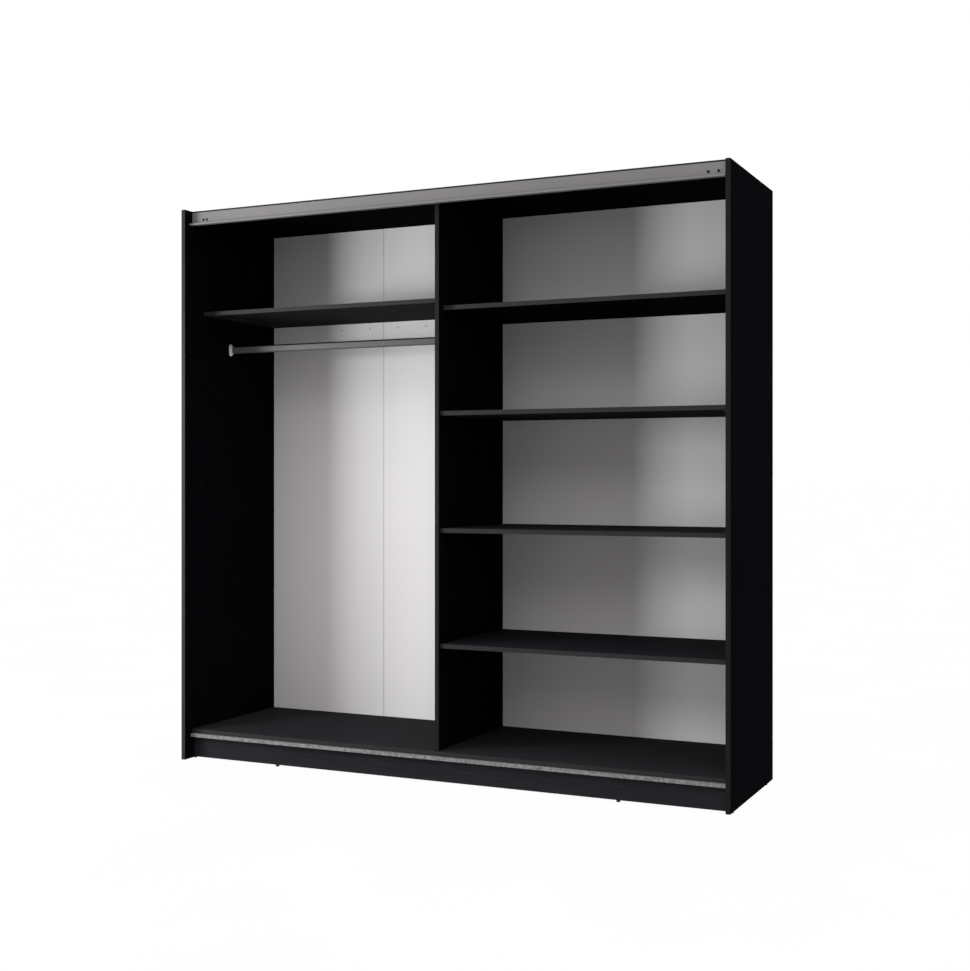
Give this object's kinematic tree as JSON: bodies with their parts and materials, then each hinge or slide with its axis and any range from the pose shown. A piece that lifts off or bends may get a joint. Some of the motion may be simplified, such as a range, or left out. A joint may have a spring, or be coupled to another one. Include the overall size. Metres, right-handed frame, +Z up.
{
  "type": "wardrobe",
  "caption": "Wide open-front wardrobe carcass with sliding-door tracks, a hanging bay under a hat shelf and a shelf bay, in black board with a pale back.",
  "frame": {"origin": "centre of the footprint, on the floor under the glides", "axes": "+X to the right as seen from the front, +Y towards the back, +Z up; the open front faces -Y"},
  "size_m": [2.181, 0.627, 2.155],
  "materials": {
    "black_board": "black melamine-faced chipboard, satin with a fine print grain",
    "edge_band": "dark grey ABS edge band",
    "back_sheet": "thin hardboard, white-lacquered inside, raw brown behind",
    "joint_strip": "dark grey plastic T section",
    "track_grey": "grey powder-coated steel",
    "track_aluminium": "drawn aluminium with fine lengthwise lines",
    "rail_chrome": "dark chrome tube",
    "socket_chrome": "bright chrome-plated socket",
    "zinc_steel": "zinc-plated steel",
    "dark_screw": "blackened steel screws and shelf pins",
    "grey_plastic": "grey moulded plastic",
    "black_plastic": "black moulded plastic",
    "beech_dowel": "beech dowel"
  },
  "bodies": {
    "root": {"left_side_panel": "black_board", "right_side_panel": "black_board", "divider_panel": "black_board", "top_panel": "black_board", "bottom_panel": "black_board", "left_side_edge_band": "edge_band", "right_side_edge_band": "edge_band", "divider_edge_band": "edge_band", "top_edge_band": "edge_band", "bottom_edge_band": "edge_band", "hat_shelf": "black_board", "hat_shelf_edge_band": "edge_band", "right_shelf_1": "black_board", "right_shelf_2": "black_board", "right_shelf_3": "black_board", "right_shelf_4": "black_board", "right_shelf_edge_band_1": "edge_band", "right_shelf_edge_band_2": "edge_band", "right_shelf_edge_band_3": "edge_band", "right_shelf_edge_band_4": "edge_band", "front_plinth": "black_board", "rear_plinth": "black_board", "centre_support": "black_board", "plinth_brackets": "zinc_steel", "plinth_bracket_screws": "zinc_steel", "plinth_glides": "black_plastic", "side_glides": "black_plastic", "back_sheet_1": "back_sheet", "back_sheet_2": "back_sheet", "back_sheet_3": "back_sheet", "back_sheet_4": "back_sheet", "back_joint_strip_left": "joint_strip", "back_joint_strip_right": "joint_strip", "back_nails": "zinc_steel", "back_rivets": "grey_plastic", "top_track": "track_grey", "top_track_screws": "zinc_steel", "track_end_blocks": "black_plastic", "track_block_screws": "zinc_steel", "track_end_screws": "dark_screw", "bottom_track": "track_aluminium", "bottom_track_screws": "zinc_steel", "hanging_rail": "rail_chrome", "rail_socket_left": "socket_chrome", "rail_socket_right": "socket_chrome", "rail_socket_screws": "zinc_steel", "cam_housings": "zinc_steel", "cam_bolts": "zinc_steel", "dowels": "beech_dowel", "divider_screws": "zinc_steel", "shelf_pins": "dark_screw"}
  },
  "joints": []
}
